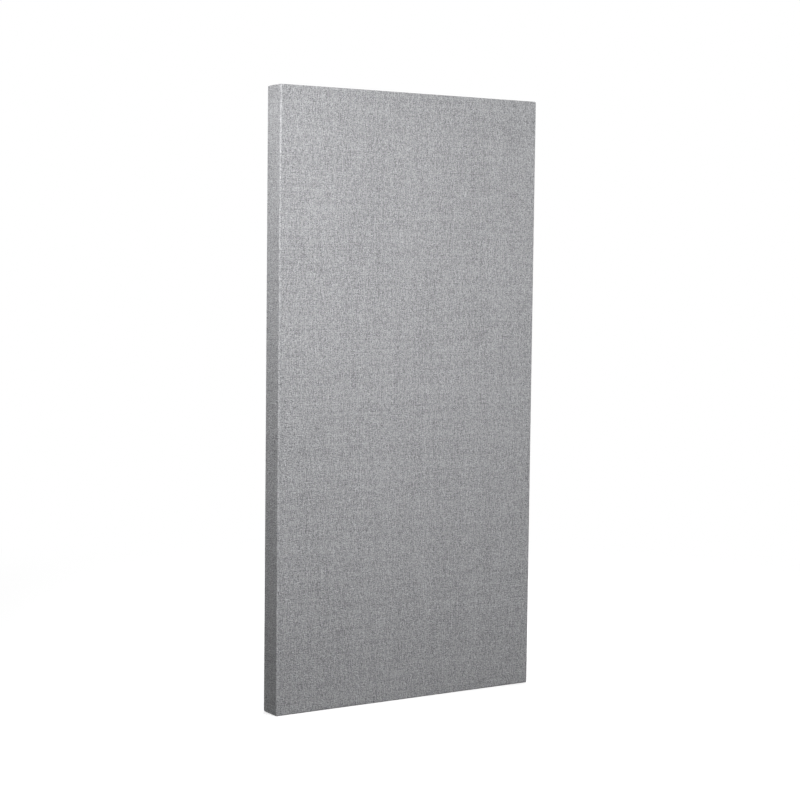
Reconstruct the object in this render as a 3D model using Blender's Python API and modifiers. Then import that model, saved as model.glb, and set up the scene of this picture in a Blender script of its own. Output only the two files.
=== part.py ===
"""Fabric-wrapped acoustic wall panel with a wooden frame, a mineral-wool core and D-ring hangers.

Metres, +Z up. The panel hangs on a wall at y = 0 and faces -Y; +X is the viewer's right.
The origin is the middle of the wall plane that the four bumpers touch.
"""

import math

import bmesh
import bpy
from mathutils import Matrix, Vector

# Outside of the wrapped panel, cloth included
PANEL_WIDTH = 0.6096
PANEL_HEIGHT = 1.2192
PANEL_DEPTH = 0.0508
EDGE_RADIUS = 0.003
EDGE_STEPS = 3

# Pieces that touch keep this gap, so that no two solids share a face
SEAT_GAP = 0.0003
MERGE_DISTANCE = SEAT_GAP / 10

# Sheet goods
CLOTH_THICKNESS = 0.0008
CLOTH_RETURN = 0.018
PLEAT_MARGIN = 0.001
SCRIM_THICKNESS = 0.0005
DUST_COVER_THICKNESS = 0.0005
DUST_COVER_INSET = 0.006

# Softwood frame, crosspiece and plywood gussets
BOARD_THICKNESS = 0.019
BOARD_ARRIS = EDGE_RADIUS - CLOTH_THICKNESS - SEAT_GAP
ARRIS_STEPS = 2
BRACE_HEIGHT = 0.040
BRACE_THICKNESS = 0.015
GUSSET_LEG = 0.060
GUSSET_TIP = 0.006
GUSSET_THICKNESS = 0.006

# Countersunk screws of the frame and the crosspiece, and how far in from the boards' edges they go
FRAME_SCREW_LENGTH = 0.045
FRAME_SCREW_SHANK = 0.0038
FRAME_SCREW_HEAD = 0.008
FRAME_SCREW_HEAD_DEPTH = 0.0026
FRAME_SCREW_SINK = 0.0002
FRAME_SCREW_INSET = 0.012
BRACE_SCREW_INSET = 0.010

# Strap hanger with a rolled eye, and the D-ring whose bar turns in it
STRAP_WIDTH = 0.010
STRAP_THICKNESS = 0.001
STRAP_FOOT_FLAT = 0.003
STRAP_FOOT_STEPS = 3
STRAP_FOOT_MARGIN = 0.006
EYE_CLEARANCE = 0.00025
EYE_SLIT = 0.00055
EYE_STEPS = 12
RING_WIRE = 0.0022
RING_SIDE_CLEARANCE = 0.002
RING_CORNER = 0.002
RING_LEG = 0.003
RING_BOW_STEPS = 14
RING_CORNER_STEPS = 3
HANGER_DROP = 0.150
HANGER_FROM_BOARD_EDGE = 0.0065

# Pan-head screws of the hangers
HANGER_SCREW_LENGTH = 0.016
HANGER_SCREW_SHANK = 0.003
HANGER_SCREW_HEAD = 0.0066
HANGER_SCREW_RIM = 0.0008
HANGER_SCREW_DOME = 0.0011
DOME_STEPS = 3
HANGER_SCREW_PITCH = 0.012
RING_TO_SCREW = 0.0025

# Rubber bumpers, tall enough to keep the hangers off the wall
HANGER_TO_WALL = 0.0013
BUMPER_DIAMETER = 0.014
BUMPER_TAPER = 0.001
BUMPER_ROUND = 0.0008
BUMPER_ROUND_STEPS = 3
BUMPER_MARGIN = 0.007

ROUND_STEPS = 16
CUTTER_OVERSHOOT = 0.002

# The rolled eye and the ring
EYE_INNER_RADIUS = RING_WIRE / 2 + EYE_CLEARANCE
EYE_MIDDLE_RADIUS = EYE_INNER_RADIUS + STRAP_THICKNESS / 2
EYE_OUTER_RADIUS = EYE_INNER_RADIUS + STRAP_THICKNESS
RING_HALF_WIDTH = STRAP_WIDTH / 2 + RING_SIDE_CLEARANCE + RING_WIRE / 2
RING_DEPTH = RING_CORNER + RING_LEG + RING_HALF_WIDTH
BUMPER_HEIGHT = HANGER_TO_WALL + 2 * EYE_OUTER_RADIUS

# Planes from the wall forwards
DUST_COVER_BACK = -(BUMPER_HEIGHT + SEAT_GAP)
DUST_COVER_FRONT = DUST_COVER_BACK - DUST_COVER_THICKNESS
PLEAT_BACK = DUST_COVER_FRONT - SEAT_GAP
CLOTH_BACK = PLEAT_BACK - CLOTH_THICKNESS
CLOTH_FRONT = CLOTH_BACK - PANEL_DEPTH
FRAME_BACK = CLOTH_BACK - CLOTH_THICKNESS - SEAT_GAP
SCRIM_FRONT = CLOTH_FRONT + CLOTH_THICKNESS + SEAT_GAP
FRAME_FRONT = SCRIM_FRONT + SCRIM_THICKNESS + SEAT_GAP
STRAP_BACK = DUST_COVER_BACK + SEAT_GAP + STRAP_THICKNESS

# Half sizes across the panel
HALF_WIDTH = PANEL_WIDTH / 2
HALF_HEIGHT = PANEL_HEIGHT / 2
FRAME_HALF_WIDTH = HALF_WIDTH - CLOTH_THICKNESS - SEAT_GAP
FRAME_HALF_HEIGHT = HALF_HEIGHT - CLOTH_THICKNESS - SEAT_GAP
BAY_HALF_WIDTH = FRAME_HALF_WIDTH - BOARD_THICKNESS - SEAT_GAP
BAY_HALF_HEIGHT = FRAME_HALF_HEIGHT - BOARD_THICKNESS - SEAT_GAP

# The hangers' place, on the axis of the eye, and their screws below the hanging ring
EYE_X = FRAME_HALF_WIDTH - BOARD_THICKNESS + HANGER_FROM_BOARD_EDGE
EYE_Y = STRAP_BACK + EYE_INNER_RADIUS
EYE_Z = HALF_HEIGHT - HANGER_DROP
FIRST_SCREW_DROP = RING_DEPTH + RING_WIRE / 2 + RING_TO_SCREW + HANGER_SCREW_HEAD / 2
SCREW_DROPS = {"upper": FIRST_SCREW_DROP, "lower": FIRST_SCREW_DROP + HANGER_SCREW_PITCH}
STRAP_LENGTH = SCREW_DROPS["lower"] + STRAP_FOOT_MARGIN
HANGER_BORE_RADIUS = HANGER_SCREW_SHANK / 2 + SEAT_GAP

SIDES = {"left": -1, "right": 1}
ENDS = {"top": 1, "bottom": -1}
FACING_WALL = (math.radians(-90), 0, 0)


def clear_scene():
    for obj in list(bpy.data.objects):
        bpy.data.objects.remove(obj, do_unlink=True)


def new_collection(name):
    collection = bpy.data.collections.new(name)
    bpy.context.scene.collection.children.link(collection)
    return collection


def new_material(name, colour, roughness, metallic=0.0):
    material = bpy.data.materials.new(name)
    material.use_nodes = True
    shader = material.node_tree.nodes["Principled BSDF"]
    shader.inputs["Base Color"].default_value = (*colour, 1.0)
    shader.inputs["Roughness"].default_value = roughness
    shader.inputs["Metallic"].default_value = metallic
    material.diffuse_color = (*colour, 1.0)
    return material


def add_mesh_object(name, bm, place, material=None):
    """An object from a bmesh, at its place: a part where it has a material, else a cutter."""
    mesh = bpy.data.meshes.new(name)
    bm.to_mesh(mesh)
    bm.free()
    obj = bpy.data.objects.new(name, mesh)
    obj.location = place
    if material is None:
        CUTTERS.objects.link(obj)
        obj.hide_render = True
        obj.display_type = "WIRE"
    else:
        PARTS.objects.link(obj)
        mesh.materials.append(material)
    return obj


def block(name, low, high, material=None, arris=0.0):
    """A rectangular piece between two corners, with its edges eased where an arris is given."""
    low = Vector(low)
    high = Vector(high)
    bm = bmesh.new()
    bmesh.ops.create_cube(bm, size=1.0)
    bmesh.ops.scale(bm, vec=high - low, verts=bm.verts)
    obj = add_mesh_object(name, bm, (low + high) / 2, material)
    if arris:
        soften_edges(obj, arris, ARRIS_STEPS)
    return obj


def soften_edges(obj, radius, steps):
    obj.data.shade_smooth()
    bevel = obj.modifiers.new("eased_edges", "BEVEL")
    bevel.width = radius
    bevel.segments = steps
    bevel.harden_normals = True


def flat_shape(name, outlines, low_y, high_y, material=None):
    """Flat outlines in X and Z, the first round the piece and the rest its holes, given a thickness."""
    curve = bpy.data.curves.new(name, "CURVE")
    curve.dimensions = "2D"
    curve.fill_mode = "BOTH"
    curve.extrude = (high_y - low_y) / 2
    for points in outlines:
        add_closed_spline(curve, [(x, z, 0) for x, z in points])
    guide = bpy.data.objects.new(name + "_outline", curve)
    CUTTERS.objects.link(guide)
    graph = bpy.context.evaluated_depsgraph_get()
    mesh = bpy.data.meshes.new_from_object(guide.evaluated_get(graph))
    bpy.data.objects.remove(guide, do_unlink=True)
    bm = bmesh.new()
    bm.from_mesh(mesh)
    bmesh.ops.remove_doubles(bm, verts=bm.verts, dist=MERGE_DISTANCE)
    bmesh.ops.rotate(bm, matrix=Matrix.Rotation(math.radians(90), 3, "X"), verts=bm.verts)
    bmesh.ops.recalc_face_normals(bm, faces=bm.faces)
    return add_mesh_object(name, bm, (0, (low_y + high_y) / 2, 0), material)


def add_closed_spline(curve, points):
    spline = curve.splines.new("POLY")
    spline.points.add(len(points) - 1)
    for point, place in zip(spline.points, points):
        point.co = (*place, 1)
    spline.use_cyclic_u = True
    spline.use_smooth = True


def turned(name, profile, place, rotation, material=None):
    """A round piece: (radius, height) points from its top down its outer side, turned about Z."""
    bm = bmesh.new()
    verts = [bm.verts.new((radius, 0, height)) for radius, height in profile]
    for upper, lower in zip(verts, verts[1:]):
        bm.edges.new((upper, lower))
    obj = add_mesh_object(name, bm, place, material)
    obj.rotation_euler = rotation
    screw = obj.modifiers.new("turned", "SCREW")
    screw.steps = ROUND_STEPS
    screw.render_steps = ROUND_STEPS
    screw.use_merge_vertices = True
    screw.merge_threshold = MERGE_DISTANCE
    screw.use_smooth_shade = True
    return obj


def combine(obj, other, operation):
    boolean = obj.modifiers.new(other.name, "BOOLEAN")
    boolean.object = other
    boolean.operation = operation
    boolean.solver = "EXACT"


def arc(centre, radius, start, end, steps):
    """Points on an arc, in degrees, both ends included."""
    angles = [math.radians(start + (end - start) * i / steps) for i in range(steps + 1)]
    return [(centre[0] + radius * math.cos(a), centre[1] + radius * math.sin(a)) for a in angles]


def corner_places():
    """Each corner's name with its signs along X and Z."""
    return [
        (f"{end}_{side}", side_sign, end_sign)
        for end, end_sign in ENDS.items()
        for side, side_sign in SIDES.items()
    ]


def add_frame():
    """Two full-height stiles, with the rails and the crosspiece butted between them."""
    stile = FRAME_HALF_WIDTH - BOARD_THICKNESS, FRAME_HALF_WIDTH
    rail = FRAME_HALF_HEIGHT - BOARD_THICKNESS, FRAME_HALF_HEIGHT
    boards = {}
    for side, sign in SIDES.items():
        x = sorted(sign * edge for edge in stile)
        low = (x[0], FRAME_FRONT, -FRAME_HALF_HEIGHT)
        high = (x[1], FRAME_BACK, FRAME_HALF_HEIGHT)
        boards[side] = block(f"{side}_stile", low, high, PINE, BOARD_ARRIS)
    for end, sign in ENDS.items():
        z = sorted(sign * edge for edge in rail)
        low = (-BAY_HALF_WIDTH, FRAME_FRONT, z[0])
        high = (BAY_HALF_WIDTH, FRAME_BACK, z[1])
        boards[end] = block(f"{end}_rail", low, high, PINE, BOARD_ARRIS)
    low = (-BAY_HALF_WIDTH, FRAME_BACK - BRACE_THICKNESS, -BRACE_HEIGHT / 2)
    high = (BAY_HALF_WIDTH, FRAME_BACK, BRACE_HEIGHT / 2)
    boards["brace"] = block("mid_brace", low, high, PINE, BOARD_ARRIS)
    return boards


def countersunk_profile(clearance=0.0, overshoot=0.0):
    """Flat head and pointed shank; with a clearance and an overshoot it is that screw's bore."""
    head = FRAME_SCREW_HEAD / 2 + clearance
    shank = FRAME_SCREW_SHANK / 2 + clearance
    tip = -FRAME_SCREW_LENGTH - clearance
    profile = [(0, overshoot), (head, overshoot)] if overshoot else [(0, 0)]
    return profile + [
        (head, 0),
        (shank, -FRAME_SCREW_HEAD_DEPTH - clearance),
        (shank, tip + FRAME_SCREW_SHANK),
        (0, tip),
    ]


def add_frame_screws(boards):
    """Two screws through each stile into each rail's end, and two into each end of the brace."""
    rail_z = FRAME_HALF_HEIGHT - BOARD_THICKNESS / 2
    brace_y = FRAME_BACK - BRACE_THICKNESS / 2
    brace_z = BRACE_HEIGHT / 2 - BRACE_SCREW_INSET
    depths = {"front": FRAME_FRONT + FRAME_SCREW_INSET, "rear": FRAME_BACK - FRAME_SCREW_INSET}
    for side, sign in SIDES.items():
        seats = [
            (f"frame_screw_{end}_{side}_{where}", end, y, end_sign * rail_z)
            for end, end_sign in ENDS.items()
            for where, y in depths.items()
        ]
        seats.append((f"brace_screw_{side}_upper", "brace", brace_y, brace_z))
        seats.append((f"brace_screw_{side}_lower", "brace", brace_y, -brace_z))
        turn = (0, sign * math.radians(90), 0)
        for name, board, y, z in seats:
            place = (sign * (FRAME_HALF_WIDTH - FRAME_SCREW_SINK), y, z)
            turned(name, countersunk_profile(), place, turn, ZINC_STEEL)
            bore = turned(name + "_bore", countersunk_profile(SEAT_GAP, CUTTER_OVERSHOOT), place, turn)
            combine(boards[side], bore, "DIFFERENCE")
            combine(boards[board], bore, "DIFFERENCE")


def gusset_outline(side_sign, end_sign, clearance=0.0):
    """A corner triangle with its two thin tips cut off, or the relief round it."""
    near = -clearance
    far = GUSSET_LEG + clearance
    tip = GUSSET_TIP + clearance * (math.sqrt(2) - 1)
    corners = [(near, near), (far, near), (far, tip), (tip, far), (near, far)]
    return [(side_sign * (BAY_HALF_WIDTH - dx), end_sign * (BAY_HALF_HEIGHT - dz)) for dx, dz in corners]


def add_gussets_and_core():
    """The mineral-wool slab fills the frame; the gussets and the brace are let into its back."""
    low = (-BAY_HALF_WIDTH, FRAME_FRONT, -BAY_HALF_HEIGHT)
    high = (BAY_HALF_WIDTH, FRAME_BACK, BAY_HALF_HEIGHT)
    core = block("core_board", low, high, MINERAL_WOOL)
    beyond = FRAME_BACK + CUTTER_OVERSHOOT
    for corner, side_sign, end_sign in corner_places():
        name = f"gusset_{corner}"
        front = FRAME_BACK - GUSSET_THICKNESS
        flat_shape(name, [gusset_outline(side_sign, end_sign)], front, FRAME_BACK, PLYWOOD)
        outline = gusset_outline(side_sign, end_sign, SEAT_GAP)
        relief = flat_shape(name + "_relief", [outline], front - SEAT_GAP, beyond)
        combine(core, relief, "DIFFERENCE")
    groove_x = BAY_HALF_WIDTH + CUTTER_OVERSHOOT
    groove_z = BRACE_HEIGHT / 2 + SEAT_GAP
    low = (-groove_x, FRAME_BACK - BRACE_THICKNESS - SEAT_GAP, -groove_z)
    combine(core, block("brace_groove", low, (groove_x, beyond, groove_z)), "DIFFERENCE")


def add_scrim():
    """Glass tissue over the front of the frame and the slab, just short of the rounded edge."""
    x = HALF_WIDTH - EDGE_RADIUS
    z = HALF_HEIGHT - EDGE_RADIUS
    block("front_scrim", (-x, SCRIM_FRONT, -z), (x, SCRIM_FRONT + SCRIM_THICKNESS, z), GLASS_TISSUE)


def pleat_outline(side_sign, end_sign):
    """The folded-over triangle of the end's cloth on the side's, mitred to the panel's corner."""
    raw = CLOTH_RETURN - PLEAT_MARGIN
    corners = [(EDGE_RADIUS, EDGE_RADIUS), (raw, EDGE_RADIUS), (raw, raw)]
    return [(side_sign * (HALF_WIDTH - dx), end_sign * (HALF_HEIGHT - dz)) for dx, dz in corners]


def add_fabric_cover():
    """One sheet over the front and the sides, turned on to the back with a pleat at each corner."""
    bm = bmesh.new()
    bmesh.ops.create_cube(bm, size=1.0)
    back = [face for face in bm.faces if face.normal.y > 0.5]
    bmesh.ops.scale(bm, vec=(PANEL_WIDTH, PANEL_DEPTH, PANEL_HEIGHT), verts=bm.verts)
    bmesh.ops.inset_region(bm, faces=back, thickness=CLOTH_RETURN)
    bmesh.ops.delete(bm, geom=back, context="FACES")
    cover = add_mesh_object("fabric_cover", bm, (0, (CLOTH_FRONT + CLOTH_BACK) / 2, 0), HEATHER_CLOTH)
    soften_edges(cover, EDGE_RADIUS, EDGE_STEPS)
    sheet = cover.modifiers.new("cloth", "SOLIDIFY")
    sheet.thickness = CLOTH_THICKNESS
    sheet.offset = -1
    sheet.use_even_offset = True
    for corner, side_sign, end_sign in corner_places():
        outline = pleat_outline(side_sign, end_sign)
        pleat = flat_shape(f"pleat_{corner}", [outline], CLOTH_BACK - CLOTH_THICKNESS / 2, PLEAT_BACK)
        combine(cover, pleat, "UNION")
    return cover


def add_dust_cover():
    """Black non-woven over the open back, short of the panel's edges, pierced by the hangers' screws."""
    x = HALF_WIDTH - DUST_COVER_INSET
    z = HALF_HEIGHT - DUST_COVER_INSET
    outlines = [[(-x, -z), (x, -z), (x, z), (-x, z)]]
    for sign in SIDES.values():
        for drop in SCREW_DROPS.values():
            circle = arc((sign * EYE_X, EYE_Z - drop), HANGER_BORE_RADIUS, 0, 360, ROUND_STEPS)
            outlines.append(circle[:-1])
    flat_shape("dust_cover", outlines, DUST_COVER_FRONT, DUST_COVER_BACK, NON_WOVEN)


def strap_path():
    """The strip's middle line in Y and Z, from its foot up and round the eye's axis at (0, 0)."""
    opening = math.degrees(math.acos((EYE_INNER_RADIUS - EYE_SLIT) / EYE_OUTER_RADIUS))
    curl = arc((0, 0), EYE_MIDDLE_RADIUS, 180, opening - 180, EYE_STEPS)
    return [(-EYE_MIDDLE_RADIUS, -STRAP_LENGTH)] + curl


def add_strap(name, place):
    """A steel strip with a rolled eye at its top, in which the ring's bar turns."""
    bm = bmesh.new()
    verts = [bm.verts.new((-STRAP_WIDTH / 2, y, z)) for y, z in strap_path()]
    edges = [bm.edges.new(pair) for pair in zip(verts, verts[1:])]
    strip = bmesh.ops.extrude_edge_only(bm, edges=edges)["geom"]
    far_side = [item for item in strip if isinstance(item, bmesh.types.BMVert)]
    bmesh.ops.translate(bm, verts=far_side, vec=(STRAP_WIDTH, 0, 0))
    foot = [vert for vert in bm.verts if vert.co.z < -STRAP_LENGTH + MERGE_DISTANCE]
    bmesh.ops.bevel(
        bm,
        geom=foot,
        offset=(STRAP_WIDTH - STRAP_FOOT_FLAT) / 2,
        segments=STRAP_FOOT_STEPS,
        profile=0.5,
        affect="VERTICES",
    )
    bmesh.ops.recalc_face_normals(bm, faces=bm.faces)
    strap = add_mesh_object(name, bm, place, ZINC_STEEL)
    plate = strap.modifiers.new("plate", "SOLIDIFY")
    plate.thickness = STRAP_THICKNESS
    plate.offset = 0
    plate.use_even_offset = True
    return strap


def ring_path():
    """The wire's middle line in X and Z: a straight bar on the axis and a round bow below it."""
    shoulder = RING_HALF_WIDTH - RING_CORNER
    points = arc((shoulder, -RING_CORNER), RING_CORNER, 90, 0, RING_CORNER_STEPS)
    points += arc((0, -RING_CORNER - RING_LEG), RING_HALF_WIDTH, 0, -180, RING_BOW_STEPS)
    points += arc((-shoulder, -RING_CORNER), RING_CORNER, 180, 90, RING_CORNER_STEPS)
    return points


def add_ring(name, place):
    """A bent wire ring whose origin is on the eye's axis."""
    curve = bpy.data.curves.new(name, "CURVE")
    curve.dimensions = "3D"
    curve.bevel_depth = RING_WIRE / 2
    curve.bevel_resolution = 2
    add_closed_spline(curve, [(x, 0, z) for x, z in ring_path()])
    curve.materials.append(ZINC_STEEL)
    ring = bpy.data.objects.new(name, curve)
    ring.location = place
    PARTS.objects.link(ring)


def pan_head_profile():
    """Domed head on a pointed shank; height 0 is the underside of the head."""
    head = HANGER_SCREW_HEAD / 2
    shank = HANGER_SCREW_SHANK / 2
    turns = [math.radians(90) * i / DOME_STEPS for i in range(DOME_STEPS + 1)]
    dome = [(head * math.sin(a), HANGER_SCREW_RIM + HANGER_SCREW_DOME * math.cos(a)) for a in turns]
    tip = -HANGER_SCREW_LENGTH
    return dome + [(head, 0), (shank, 0), (shank, tip + HANGER_SCREW_SHANK), (0, tip)]


def add_hangers(boards, cover):
    """On each stile a strap with its ring, held by two screws that go through both cloths."""
    radius = HANGER_BORE_RADIUS
    end = -HANGER_SCREW_LENGTH - SEAT_GAP
    bore_profile = [(0, CUTTER_OVERSHOOT), (radius, CUTTER_OVERSHOOT), (radius, end), (0, end)]
    for side, sign in SIDES.items():
        x = sign * EYE_X
        strap = add_strap(f"{side}_hanger_strap", (x, EYE_Y, EYE_Z))
        add_ring(f"{side}_d_ring", (x, EYE_Y, EYE_Z))
        for level, drop in SCREW_DROPS.items():
            name = f"hanger_screw_{side}_{level}"
            z = EYE_Z - drop
            turned(name, pan_head_profile(), (x, STRAP_BACK + SEAT_GAP, z), FACING_WALL, ZINC_STEEL)
            bore = turned(name + "_bore", bore_profile, (x, STRAP_BACK, z), FACING_WALL)
            for piece in (strap, cover, boards[side]):
                combine(piece, bore, "DIFFERENCE")


def add_bumpers():
    """Tapered rubber bumpers on the corners of the back; their flat tops touch the wall."""
    base = BUMPER_DIAMETER / 2
    top = base - BUMPER_TAPER
    draft = math.degrees(math.atan2(BUMPER_TAPER, BUMPER_HEIGHT))
    rim = arc((top - BUMPER_ROUND, -BUMPER_ROUND), BUMPER_ROUND, 90, draft, BUMPER_ROUND_STEPS)
    profile = [(0, 0)] + rim + [(base, -BUMPER_HEIGHT), (0, -BUMPER_HEIGHT)]
    inset = DUST_COVER_INSET + BUMPER_MARGIN + base
    for corner, side_sign, end_sign in corner_places():
        place = (side_sign * (HALF_WIDTH - inset), 0, end_sign * (HALF_HEIGHT - inset))
        turned(f"bumper_{corner}", profile, place, FACING_WALL, RUBBER)


clear_scene()
PARTS = new_collection("acoustic_panel")
CUTTERS = new_collection("cutters")
HEATHER_CLOTH = new_material("heather_cloth", (0.36, 0.37, 0.38), 0.9)
PINE = new_material("pine", (0.68, 0.50, 0.30), 0.6)
PLYWOOD = new_material("plywood", (0.60, 0.44, 0.27), 0.65)
MINERAL_WOOL = new_material("mineral_wool", (0.45, 0.42, 0.25), 0.95)
GLASS_TISSUE = new_material("glass_tissue", (0.75, 0.75, 0.72), 0.9)
NON_WOVEN = new_material("non_woven", (0.02, 0.02, 0.022), 0.9)
ZINC_STEEL = new_material("zinc_steel", (0.62, 0.62, 0.60), 0.3, 1.0)
RUBBER = new_material("rubber", (0.03, 0.03, 0.03), 0.7)

frame_boards = add_frame()
add_frame_screws(frame_boards)
add_gussets_and_core()
add_scrim()
fabric_cover = add_fabric_cover()
add_dust_cover()
add_hangers(frame_boards, fabric_cover)
add_bumpers()
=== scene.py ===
# A wall-hung acoustic panel: its cloths, finishes and small fixings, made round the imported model.
import math
import random

import bmesh
import bpy
from mathutils import Matrix, Vector


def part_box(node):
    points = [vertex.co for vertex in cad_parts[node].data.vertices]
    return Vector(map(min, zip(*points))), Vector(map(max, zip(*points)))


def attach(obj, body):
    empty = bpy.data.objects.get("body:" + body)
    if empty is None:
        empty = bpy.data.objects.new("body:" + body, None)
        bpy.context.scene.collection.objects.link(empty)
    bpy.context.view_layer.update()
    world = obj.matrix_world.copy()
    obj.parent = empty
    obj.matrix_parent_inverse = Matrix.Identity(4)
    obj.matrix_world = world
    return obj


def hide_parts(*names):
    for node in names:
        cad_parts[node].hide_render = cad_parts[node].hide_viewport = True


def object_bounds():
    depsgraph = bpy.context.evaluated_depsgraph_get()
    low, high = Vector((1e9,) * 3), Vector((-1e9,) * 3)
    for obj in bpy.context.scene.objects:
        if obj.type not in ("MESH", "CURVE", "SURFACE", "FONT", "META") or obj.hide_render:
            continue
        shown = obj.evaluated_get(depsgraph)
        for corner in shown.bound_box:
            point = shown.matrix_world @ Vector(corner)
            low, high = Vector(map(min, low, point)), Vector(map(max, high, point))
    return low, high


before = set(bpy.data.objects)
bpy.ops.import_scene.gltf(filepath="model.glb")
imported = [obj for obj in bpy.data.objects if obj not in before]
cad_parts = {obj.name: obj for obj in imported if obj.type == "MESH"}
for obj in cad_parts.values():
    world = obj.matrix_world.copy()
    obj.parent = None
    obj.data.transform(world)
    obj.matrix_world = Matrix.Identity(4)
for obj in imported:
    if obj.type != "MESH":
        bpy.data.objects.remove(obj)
packed_low, packed_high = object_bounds()

# The camera stands at the front left, a little above the panel's middle, 3.9 m away with a long
# lens. Its place and its slight roll come from the panel's outline in the photograph.
CAMERA_PLACE = (-2.1239, -3.2461, 0.265)
CAMERA_SENSOR = 36
CAMERA_LENS = 86.04
CAMERA_TURN = math.radians(-33.362)
CAMERA_TILT = math.radians(90 - 3.985)
CAMERA_ROLL = math.radians(0.667)

camera_data = bpy.data.cameras.new("camera")
camera_data.sensor_width = CAMERA_SENSOR
camera_data.lens = CAMERA_LENS
camera = bpy.data.objects.new("camera", camera_data)
camera.matrix_world = (
    Matrix.Translation(CAMERA_PLACE)
    @ Matrix.Rotation(CAMERA_TURN, 4, "Z")
    @ Matrix.Rotation(CAMERA_TILT, 4, "X")
    @ Matrix.Rotation(CAMERA_ROLL, 4, "Z")
)
bpy.context.scene.collection.objects.link(camera)
bpy.context.scene.camera = camera
bpy.context.scene.view_settings.view_transform = "Standard"


# The studio is a plain pale floor under the panel's lower edge and a world that is white to the
# camera. Softboxes stand in front, at the left and behind, and the floor keeps the panel's shadow.
class Signal:
    """A shader socket: arithmetic on it adds Math nodes, so that a finish reads as a formula."""

    def __init__(self, tree, socket=None):
        self.tree = tree
        self.socket = socket

    def node(self, kind, settings=(), sockets=(), output=0):
        """Any node: its settings first, then the values or links of its sockets."""
        made = self.tree.nodes.new(kind)
        for name, value in dict(settings).items():
            setattr(made, name, value)
        for name, value in dict(sockets).items():
            if isinstance(value, Signal):
                self.tree.links.new(value.socket, made.inputs[name])
            else:
                made.inputs[name].default_value = value
        return Signal(self.tree, made.outputs[output])

    def math(self, operation, *others):
        return self.node("ShaderNodeMath", {"operation": operation}, enumerate((self, *others)))

    def __add__(self, other):
        return self.math("ADD", other)

    def __sub__(self, other):
        return self.math("SUBTRACT", other)

    def __rsub__(self, other):
        return self * -1 + other

    def __mul__(self, other):
        return self.math("MULTIPLY", other)

    def __truediv__(self, number):
        return self * (1 / number)

    def __pow__(self, other):
        return self.math("POWER", other)

    __radd__ = __add__
    __rmul__ = __mul__

    def colour(self, low, high):
        """The colour low where this signal is 0, and high where it is 1."""
        factor, low_socket, high_socket, result = 0, 6, 7, 2
        sockets = {factor: self, low_socket: (*low, 1), high_socket: (*high, 1)}
        return self.node("ShaderNodeMix", {"data_type": "RGBA"}, sockets, result)

    def rise(self, low, high):
        """0 below low and 1 above high, with a smooth rise between."""
        smooth = {"interpolation_type": "SMOOTHSTEP"}
        return self.node("ShaderNodeMapRange", smooth, {0: self, 1: low, 2: high})

    def feed(self, socket):
        self.tree.links.new(self.socket, socket)


def seen_directly(start):
    """1 on the rays that show a surface itself: straight, in a gloss or through glass."""
    ways = ("Is Camera Ray", "Is Glossy Ray", "Is Transmission Ray")
    camera_ray, glossy_ray, through_ray = (start.node("ShaderNodeLightPath", output=way) for way in ways)
    return camera_ray.math("MAXIMUM", glossy_ray).math("MAXIMUM", through_ray)


def softbox(name, azimuth, elevation, distance, size, watts):
    """A square lamp that faces the panel. Azimuth 0 is in front and negative is to the left."""
    light = bpy.data.lights.new(name, "AREA")
    light.size = size
    light.energy = watts
    aside = Matrix.Rotation(math.radians(azimuth), 3, "Z")
    upwards = Matrix.Rotation(math.radians(-elevation), 3, "X")
    lamp = bpy.data.objects.new(name, light)
    lamp.location = aside @ upwards @ Vector((0, -distance, 0))
    lamp.rotation_euler = lamp.location.to_track_quat("Z", "Y").to_euler()
    lamp.visible_camera = False
    bpy.context.scene.collection.objects.link(lamp)


WHITE = (1, 1, 1, 1)
AMBIENT = 0.02
FLOOR_WIDTH = 30
FLOOR_GAP = 0.0002
FLOOR_BOUNCE = (0.1, 0.1, 0.1, 1)
FLOOR_PALE = (0.8, 0.8, 0.8, 1)
FLOOR_GLOW = 0.45
SWEEP_START = 0.7
SWEEP_END = 2.2

world = bpy.data.worlds.new("studio")
world.use_nodes = True
bpy.context.scene.world = world
start = Signal(world.node_tree)
dim = start.node("ShaderNodeBackground", {}, {"Color": WHITE, "Strength": AMBIENT})
bright = start.node("ShaderNodeBackground", {}, {"Color": WHITE, "Strength": 1})
around = start.node("ShaderNodeMixShader", {}, {0: seen_directly(start), 1: dim, 2: bright})
around.feed(world.node_tree.nodes["World Output"].inputs["Surface"])

bpy.ops.object.select_all(action="DESELECT")
bpy.ops.mesh.primitive_plane_add(size=FLOOR_WIDTH, location=(0, 0, packed_low.z - FLOOR_GAP))
floor = bpy.context.object
floor.name = "floor"
floor_paint = bpy.data.materials.new("floor_paint")
floor_paint.use_nodes = True
floor.data.materials.append(floor_paint)
start = Signal(floor_paint.node_tree)
bounce = start.node("ShaderNodeBsdfDiffuse", {}, {"Color": FLOOR_BOUNCE})
pale = start.node("ShaderNodeBsdfDiffuse", {}, {"Color": FLOOR_PALE})
glow = start.node("ShaderNodeEmission", {}, {"Color": WHITE, "Strength": FLOOR_GLOW})
near_floor = start.node("ShaderNodeAddShader", {}, {0: pale, 1: glow})
far_floor = start.node("ShaderNodeEmission", {}, {"Color": WHITE, "Strength": 1})
place = start.node("ShaderNodeTexCoord", output="Object")
away = start.node("ShaderNodeVectorMath", {"operation": "LENGTH"}, {0: place}, output="Value")
faded = away.rise(SWEEP_START, SWEEP_END)
seen_floor = start.node("ShaderNodeMixShader", {}, {0: faded, 1: near_floor, 2: far_floor})
look = start.node("ShaderNodeMixShader", {}, {0: seen_directly(start), 1: bounce, 2: seen_floor})
look.feed(floor_paint.node_tree.nodes["Material Output"].inputs["Surface"])

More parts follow.
